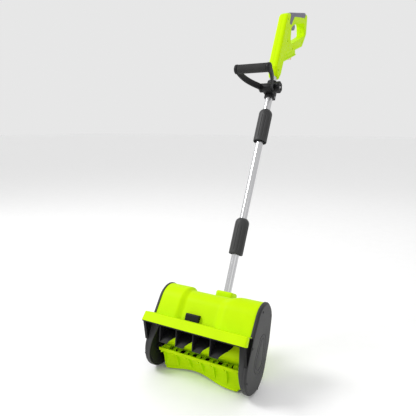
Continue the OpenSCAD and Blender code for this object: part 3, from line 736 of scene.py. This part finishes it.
def side_frame(side):
    """Wall beside the rotor, the strip round its front and lower edge, the bearing boss and the wing."""
    name = side_name(side)
    wall_x = mirrored(side, FRAME_IN, FRAME_OUT)
    wall = plate(name + "_frame_wall", lambda g: rounded(HEAD, g - 6.6, 4), [bore(ROTOR_V, ROTOR_W, 5.2)],
                 *wall_x, "black", bevel=0.5)
    strip = add_mesh(name + "_frame_strip", *frame_strip(side), "grey")
    wing_line = grown([(-72.6, 3, 0.6), (-107, 57, 3), (-96, ROOF_W, 0.6), (-68.9, ROOF_W, 0.6)])
    wing_x = mirrored(side, 156, 164.8)
    wing = plate(name + "_frame_wing", wing_line, [], *wing_x, "black", bevel=0.6)
    bore_r, low, high = 5.1, 139.5, 145.5
    boss = [(bore_r, low), (13.4, low), (14.4, 140.3), (14.6, high), (bore_r, high), (bore_r, low)]
    boss = x_lathe([(r, side * h) for r, h in boss], ROTOR_V, ROTOR_W)
    boss = add_mesh(name + "_frame_boss", *boss, "black")
    for piece in (wall, strip, wing, boss):
        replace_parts(piece, name + "_side_frame")


# ---- rotor ----

# where a paddle's root lies, from the rotor's axis
ROOT_Y, ROOT_Z = -19.5, 7
RIB_COUNT = 7
FIRST_RIB = -ROTOR_HALF + 8
RIB_PITCH = -2 * FIRST_RIB / (RIB_COUNT - 1)


def tip_angle(x):
    """Where the lip of a paddle lies round the axis: a slow wave along the rotor."""
    wave = math.cos(math.radians(0.69 * (x + 30))) ** 2
    return math.radians(8 - 25 * wave)


def paddle_line(x, t):
    """The paddle's curve in (y, z) from its root at t = 0 to its lip at t = 1."""
    a = tip_angle(x)
    r = ROTOR_R - 1.5
    tip = (-r * math.sin(a), -r * math.cos(a))
    root = (ROOT_Y, ROOT_Z)
    bend = (ROOT_Y + 44, -35)
    return tuple((1 - t) ** 2 * p + 2 * t * (1 - t) * b + t * t * q for p, b, q in zip(root, bend, tip))


def direction(start, end):
    """The unit vector between two (y, z) points."""
    length = math.hypot(end[0] - start[0], end[1] - start[1])
    return (end[0] - start[0]) / length, (end[1] - start[1]) / length


def paddle_lip(x, half):
    """Points round the bulb of the lip, from its front to its back."""
    y, z = paddle_line(x, 1)
    along = direction(paddle_line(x, 0.98), (y, z))
    normal = (along[1], -along[0])
    out = []
    for k in range(1, 6):
        across, past = math.cos(math.pi * k / 6), 0.6 * math.sin(math.pi * k / 6)
        out.append((x, y + half * (normal[0] * across + along[0] * past),
                    z + half * (normal[1] * across + along[1] * past)))
    return out


def paddle(turn):
    """One curved blade, with a bulb along its lip and rounded ends."""
    rows, across, down = [], 96, 22
    for i in range(across + 1):
        u = 2 * i / across - 1
        thick_end = math.sqrt(max(0.02, 1 - abs(u) ** 40))
        front, back = [], []
        for j in range(down + 1):
            t = j / down
            x = (ROTOR_HALF - 13 * t ** 3) * u
            y, z = paddle_line(x, t)
            along = direction(paddle_line(x, t - 0.01), paddle_line(x, min(1, t + 0.01)))
            half = (1.1 + 1.7 * smooth_step(0.9, 0.97, t)) * thick_end
            front.append((x, y + along[1] * half, z - along[0] * half))
            back.append((x, y - along[1] * half, z + along[0] * half))
        section = front + paddle_lip(x, half) + back[::-1]
        rows.append([half_turned(turn)(*p) for p in section])
    return loft(rows)


def fin_outline(x, g):
    """Outline of a fin that stiffens the paddle's hollow side, from the rail to the lip."""
    parts = 14
    back = [paddle_line(x, k / parts) for k in range(1, parts)]
    front = []
    for k in range(1, 12):
        t = k / 12
        y, z = paddle_line(x, (1 + 12 * t) / parts)
        bow = 10 * math.sin(math.pi * t) ** 0.8
        front.append((y - bow, z))
    return [(y + g * 0.5, z) for y, z in back] + [(y - g, z) for y, z in front[::-1]]


def rotor_ribs():
    """Cross ribs over the web, each with a fin on either paddle. The two end ribs have no hole."""
    blade_in = 0.985
    for i in range(RIB_COUNT):
        x = FIRST_RIB + i * RIB_PITCH
        holes = [] if i in (0, RIB_COUNT - 1) else [bore(0, 0, 6.8)]
        disc = plate(f"rotor_rib_{i}", grown(block(-18, 18, -5, 5, 3)), holes, x - 1.5, x + 1.5,
                     "lime", "rotor", 0.5, turned)
        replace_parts(disc, "rotor")
        for turn in (1, -1):
            fin = plate(f"rotor_fin_{i}_{turn + 1}", lambda g: fin_outline(x * blade_in, g), [],
                        x - 1.4, x + 1.4, "lime", "rotor", 0.4, half_turned(turn))
            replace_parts(fin, "rotor")


def rotor_rails():
    """The bars that the paddles' roots end in."""
    rail_line = grown(block(-19.8, -18.6, -0.5, 7, 1.1))
    for turn in (1, -1):
        rail = plate(f"rotor_rail_{turn + 1}", rail_line, [], -ROTOR_HALF, ROTOR_HALF,
                     "lime", "rotor", 0.8, half_turned(turn))
        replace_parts(rail, "rotor")


def rotor_web():
    """Flat web between the rails, with a long slot in each bay and a short one between bays."""
    slots = []
    for i in range(RIB_COUNT - 1):
        x = FIRST_RIB + (i + 0.5) * RIB_PITCH
        slots.append(grown(block(x - 4, x + 4, -12, 12, 3)))
        if i > 0:
            x -= RIB_PITCH / 2
            slots.append(grown(block(x - 4, x + 4, -5, 5, 2)))
    web = plate("rotor_web", grown(block(-132, 132, -19, 19, 2)), slots, -1.5, 1.5,
                "lime", "rotor", 0.5, lambda z, x, y: turned(x, y, z))
    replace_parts(web, "rotor")


def rotor():
    """Paddles, ribs, rails, web and the bosses that hold the stub axles."""
    blades = add_mesh("rotor_blades", *joined([paddle(1), paddle(-1)]), "lime", "rotor", 50)
    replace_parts(blades, "rotor")
    rotor_ribs()
    rotor_rails()
    rotor_web()
    bore_r = 4.05
    boss = [(bore_r, 106), (8.2, 106), (9, 107), (9, 127), (8.2, 128), (bore_r, 128), (bore_r, 106)]
    for side in (1, -1):
        piece = x_lathe([(r, side * h) for r, h in boss], ROTOR_V, ROTOR_W)
        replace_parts(add_mesh(f"rotor_boss_{side + 1}", *piece, "lime", "rotor"), "rotor")


# ---- shaft ----

TUBE_R = reach("lower_tube")
TUBE_BORE = TUBE_R - 1.25
SHAFT_LOW, SHAFT_HIGH = 130, 1066
LOWER_JOINT = joint_place("lower_sleeve_twist")[1]
UPPER_JOINT = joint_place("upper_sleeve_twist")[1]


def tubes():
    """Three tubes that meet inside the joint sleeves, and whose ends have broken edges."""
    gap, edge = 0.1, 0.2
    spans = {
        "lower_tube": (SHAFT_LOW, LOWER_JOINT - gap),
        "middle_tube": (LOWER_JOINT + gap, UPPER_JOINT - gap),
        "upper_tube": (UPPER_JOINT + gap, SHAFT_HIGH),
    }
    for node, (low, high) in spans.items():
        outer = [(TUBE_R - edge, low), (TUBE_R, low + edge), (TUBE_R, high - edge), (TUBE_R - edge, high)]
        profile = [(TUBE_BORE, low)] + outer + [(TUBE_BORE, high), (TUBE_BORE, low)]
        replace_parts(add_mesh(node + "_skin", *shaft_lathe(profile, 0, 96), "alu"), node)


SLEEVE_LEN = 120
SLEEVE_R = reach("lower_joint_sleeve")


def sleeve(node, body, middle):
    """Twist-lock sleeve: flutes along its sides, a rounded neck at the top and an open, lipped bottom."""
    def flutes(a, r, h):
        along = smooth_step(7, 15, h) * (1 - smooth_step(88, 100, h)) if r > 20 else 0
        dip = max(0, math.cos(12 * a)) ** 3
        return r - 1.5 * along * dip

    lip = [(19.5, 9), (20.3, 3), (20.6, 0.6), (21.2, 0), (22.2, 0.2), (22.8, 1.2), (SLEEVE_R, 3)]
    side = [(SLEEVE_R, 3 + 101 * k / 34) for k in range(1, 35)]
    neck = [(22.6, 107), (21.7, 110.5), (20.2, 113.5), (18.2, 116)]
    neck += [(16.4, 117.6), (15.4, 118.8), (14.6, 119.7), (13.4, SLEEVE_LEN)]
    inner = [(12.6, 119.8), (12.6, 12), (16, 10), (19.5, 9)]
    shell = shaft_lathe(lip + side + neck + inner, middle - SLEEVE_LEN / 2, 192, flutes)
    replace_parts(add_mesh(node + "_shell", *shell, "grey", body, 50), node)


# ---- assist bar ----

PIVOT_V, PIVOT_W = joint_place("assist_tilt")
BAR_V, BAR_W = -101, 883
BAR_HALF = 55
# how far out the arms run beside the clamp, and the share of their length over which they come in to it
ARM_IN = 24
ARM_TURN = 0.84


def arm_point(t):
    """Centre of the arm from the bar at t = 0 to the pivot at t = 1."""
    x = ARM_IN + (BAR_HALF + 1 - ARM_IN) * max(0, 1 - (t / ARM_TURN) ** 2) ** 1.3
    sag = 30 * t * (1 - t)
    return (x, BAR_V + (PIVOT_V - BAR_V) * t, BAR_W + (PIVOT_W - BAR_W) * t - sag)


def arm(side):
    """Flat curved arm with rounded edges, lofted from the bar's end to its hub."""
    section = rounded(block(-1.5, 1.5, -7.5, 7.5, 3), 0, 15)
    rings = []
    for i in range(49):
        t = 0.04 + 0.91 * i / 48
        x, v, w = arm_point(t)
        along = direction((v, w), arm_point(t + 0.01)[1:])
        rings.append([place(side * (x + a), v - along[1] * b, w + along[0] * b) for a, b in section])
    return loft(rings)


def bail_hub(side):
    """Hub round the pivot bolt: flat under the knob, with a pocket for the bolt's head on the other side."""
    bore_r, pocket_r = 4.1, 6.6
    hub = [(bore_r, 17.3), (14.3, 17.3), (15.2, 18), (15.5, 19), (15.5, 26.8), (14.9, 28.2), (13.6, 29)]
    knob_face = [(10, 29), (9.4, 28.4), (bore_r, 28.4)]
    pocket = [(8, 29), (7.2, 28.6), (pocket_r, 27.6), (pocket_r, 24.9), (bore_r, 24.9)]
    hub += knob_face if side > 0 else pocket
    hub = [(r, side * h) for r, h in hub + hub[:1]]
    piece = add_mesh(f"bail_hub_{side + 1}", *x_lathe(hub, PIVOT_V, PIVOT_W), "black", "assist_bar")
    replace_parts(piece, "assist_bail")


def bail_cap(side):
    """Rounded cap at one end of the bar."""
    centre, low, high = 0.01, 50, reach("assist_bail")
    cap = [(centre, low), (13.6, low), (14.8, low + 0.6), (15.3, low + 1.8)]
    cap += [(15.3, high - 3.6), (14.7, high - 1.6), (13, high - 0.3), (10, high), (centre, high)]
    cap = [(r, side * h) for r, h in cap]
    piece = add_mesh(f"bail_cap_{side + 1}", *x_lathe(cap, BAR_V, BAR_W), "black", "assist_bar")
    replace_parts(piece, "assist_bail")


def bail():
    """The assist bar: two arms with their hubs and caps, and the foam grip between them."""
    arms = add_mesh("bail_arms", *joined([arm(1), arm(-1)]), "black", "assist_bar")
    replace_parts(arms, "assist_bail")
    for side in (1, -1):
        bail_hub(side)
        bail_cap(side)
    bore_r, half = 8.1, reach("assist_grip")
    end = [(14.5, half - 1.8), (14.3, half - 0.6), (13.6, half), (bore_r, half)]
    foam = [(r, -x) for r, x in reversed(end)] + end + [(bore_r, -half)]
    grip = add_mesh("foam_grip", *x_lathe(foam, BAR_V, BAR_W), "foam", "assist_bar")
    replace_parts(grip, "assist_grip")


def knob():
    """Six-lobed knob with a dished face."""
    def lobes(a, r, h):
        return r - 2.4 * (0.5 - 0.5 * math.cos(6 * a)) ** 1.5 if r > 15 else r

    bore_r, low = 4.1, 29.4
    stem = [(bore_r, low), (12, low), (12, 32.4)]
    rim = [(17.5, 32.6), (19.2, 33.2), (20, 34.6), (20, 42.6), (19, 44.6), (17, 45.3)]
    dish = [(9.2, 45.3), (8.2, 44.8), (8, 43.8), (8, 41.4), (bore_r, 41.4), (bore_r, low)]
    body = x_lathe(stem + rim + dish, PIVOT_V, PIVOT_W, 120, lobes)
    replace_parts(add_mesh("knob_body", *body, "black", "knob"), "clamp_knob")


def clamp():
    """Collar on the tube, the block that carries the pivot, two ears and their screws."""
    bore_r, low, high = 12.35, 874, 938
    collar = [(bore_r, low), (17, low), (17.8, low + 0.6), (18, low + 1.6)]
    collar += [(18, high - 1.6), (17.8, high - 0.6), (17, high), (bore_r, high), (bore_r, low)]
    ob = add_mesh("clamp_collar", *shaft_lathe(collar, 0, 72), "black", "assist_slider")
    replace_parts(ob, "assist_clamp")
    block_line = grown([(PIVOT_V, PIVOT_W, 15.5), (56, 909.5, 6), (56, 890.5, 6)])
    piece = plate("clamp_block", block_line, [], -17, 17, "black", "assist_slider", 1.2)
    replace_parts(piece, "assist_clamp")
    ear_line = grown(block(80, 92, 884, 928, 4))
    for side in (1, -1):
        ear_x = mirrored(side, 0.8, 12)
        ear = plate(f"clamp_ear_{side + 1}", ear_line, [], *ear_x, "black", "assist_slider", 1)
        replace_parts(ear, "assist_clamp")
        at = place(side * 8, 49.5, 878.5)
        front = screw_head(f"clamp_front_screw_{side + 1}", at, -REAR, ACROSS, 3.4, "assist_slider")
        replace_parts(front, "clamp_screws")
    for i, w in enumerate((890, 922)):
        at = place(13, 89, w)
        head = screw_head(f"clamp_ear_screw_{i}", at, ACROSS, REAR, 3.7, "assist_slider", "steel")
        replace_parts(head, "clamp_screws")


# ---- rear handle, with corner circles in (n, w, r) ----

HANDLE_HALF = reach("handle_shell_right")
HANDLE = [(-5, 1189, 26), (152, 1326, 14), (171, 1270, 16), (158, 1208, 13), (38.5, 1056.5, -14),
          (14, 981, 8), (6, 960, 8), (-5, 963, 8), (-23, 986, 8)]
OPENING = [(41, 1180, 12), (66, 1214, 13), (140, 1270, 14), (150, 1256, 15), (55, 1151, 14)]
HANDLE_SCREWS = [(-10, 979), (-16, 1186), (16, 1116), (73, 1125), (128, 1306), (154, 1214)]
DOCK = [(109, 1146, 4), (116, 1137, 4), (26, 1050, 4), (17, 1058, 4)]
DOCK_RAIL = [(122.2, 1135.4, 1.6), (122.6, 1133.6, 1), (28.6, 1042.2, 1), (26.2, 1044.4, 1.6)]


def half_shell(side):
    """One half of the handle's case: rounded edges, a fine seam, the finger opening and screw wells."""
    s = Slab(lambda x, n, w: on_shaft(side * x, n, w))
    seam = [(1.2, 0.05), (0.35, 0.06), (0.05, 0.5), (0, 1)]
    outside = seam + soft_edge(6.4, 12, HANDLE_HALF) + [(7, HANDLE_HALF)]
    inside = seam + round_over(4, HANDLE_HALF, 7) + [(4.8, HANDLE_HALF)]
    out_in, out_face = s.walls(shrunk(HANDLE), outside)
    gap_in, gap_face = s.walls(grown(OPENING), inside)
    well = [(3.6, HANDLE_HALF), (3.3, HANDLE_HALF - 0.15), (3.2, HANDLE_HALF - 0.5), (3.2, HANDLE_HALF - 3.7)]
    mouths = [s.well(n, w, well, 24) for n, w in HANDLE_SCREWS]
    s.fill(out_in, gap_in)
    s.fill(out_face, gap_face, *mouths)
    name = side_name(side)
    ob = s.done(f"handle_{name}_shell", "lime")
    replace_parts(ob, "handle_shell_" + name)
    for part, corners, half in (("dock", DOCK, 13), ("rail", DOCK_RAIL, 15)):
        part_x = mirrored(side, 0.05, half)
        piece = plate(f"handle_{name}_{part}", grown(corners), [], *part_x, "lime", "machine", 0.8, on_shaft)
        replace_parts(piece, "handle_shell_" + name)
    for i, (n, w) in enumerate(HANDLE_SCREWS):
        at = on_shaft(side * (HANDLE_HALF - 1.7), n, w)
        head = screw_head(f"handle_{name}_screw_{i}", at, (side, 0, 0), REAR, 2.9, "machine")
        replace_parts(head, "handle_screws")


def overmould():
    """Soft skin over the top of the grip, which stands a little proud of the case."""
    proud = 1.3
    corners = [(-0.5, 1220.3, 4), (129.9, 1320.3, 7), (127.6, 1309.6, 4), (39, 1231, -7)]
    corners += [(16, 1190, 3), (4, 1185, 3)]
    edge = soft_edge(3.6, 6, HANDLE_HALF + proud)
    skin = pillow("overmould_skin", lambda inset: rounded(corners, proud - inset), edge, 0,
                  "slate", to_world=on_shaft)
    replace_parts(skin, "grip_overmould")


def trigger():
    """Hooked trigger with a rounded face."""
    corners = [(69, 1234, 3), (80, 1228, 4), (79, 1217, 4), (63, 1205, 4), (49, 1203.5, 4), (44, 1212, 3)]
    edge = round_over(2.5, reach("trigger"), 5)
    body = pillow("trigger_body", shrunk(corners), edge, 0, "slate_hard", "trigger", on_shaft)
    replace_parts(body, "trigger")


def lock_off():
    """Domed button on the left side of the case."""
    centre, back = 0.01, -11.3
    profile = [(centre, -20.3), (3.5, -20.1), (5.3, -19.4), (6, -18.2), (6, back), (centre, back)]
    piece = add_mesh("lock_off_cap", *x_lathe(profile, SHAFT_V + 11, 1224), "slate_hard", "lock_off")
    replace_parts(piece, "lock_off_button")


drum()
hood()
for side in (1, -1):
    side_cover(side)
    side_frame(side)
liner()
vent()
socket()
rotor()
tubes()
sleeve("lower_joint_sleeve", "lower_sleeve", LOWER_JOINT)
sleeve("upper_joint_sleeve", "upper_sleeve", UPPER_JOINT)
bail()
knob()
clamp()
for side in (1, -1):
    half_shell(side)
overmould()
trigger()
lock_off()


# ---- floor, light and camera ----

# each lamp: its place in metres, its power in watts and its size
LAMPS = {
    "key": ((-1.9, -0.9, 2.5), 52, 1.1),
    "fill": ((2.2, -1.6, 1.4), 3, 1.6),
    "rim": ((0.4, 2.4, 2.4), 5, 1.6),
}


def studio():
    """A pale floor just under the machine, an even white surround and three soft lamps."""
    gap = 0.0005
    bpy.ops.mesh.primitive_plane_add(size=60, location=(0, 0, cad_lo.z - gap))
    floor = bpy.context.object
    floor.name = "floor"
    floor.data.materials.append(surface("floor_paint", (0.97, 0.97, 0.97), 0.6, 0.01, 40, 0.02))
    world = bpy.data.worlds.new("studio")
    bpy.context.scene.world = world
    world.use_nodes = True
    sky = world.node_tree.nodes["Background"]
    sky.inputs["Color"].default_value = (1, 1, 1, 1)
    sky.inputs["Strength"].default_value = 0.80
    bpy.context.scene.view_settings.view_transform = "Standard"
    aim = Vector((0, 0.3, 0.5))
    for name, (at, power, size) in LAMPS.items():
        data = bpy.data.lights.new(name, "AREA")
        data.energy = power
        data.size = size
        lamp = bpy.data.objects.new(name, data)
        bpy.context.collection.objects.link(lamp)
        lamp.location = at
        lamp.rotation_euler = (aim - Vector(at)).to_track_quat("-Z", "Y").to_euler()


def camera():
    """The photograph's view, fitted to the object's proportions in it."""
    data = bpy.data.cameras.new("camera")
    data.sensor_width = 36
    data.lens = 36.8
    cam = bpy.data.objects.new("camera", data)
    bpy.context.collection.objects.link(cam)
    cam.location = (0.5707, -1.0126, 0.7238)
    cam.rotation_euler = (math.radians(79.13), 0, math.radians(29.5))
    bpy.context.scene.camera = cam


studio()
camera()
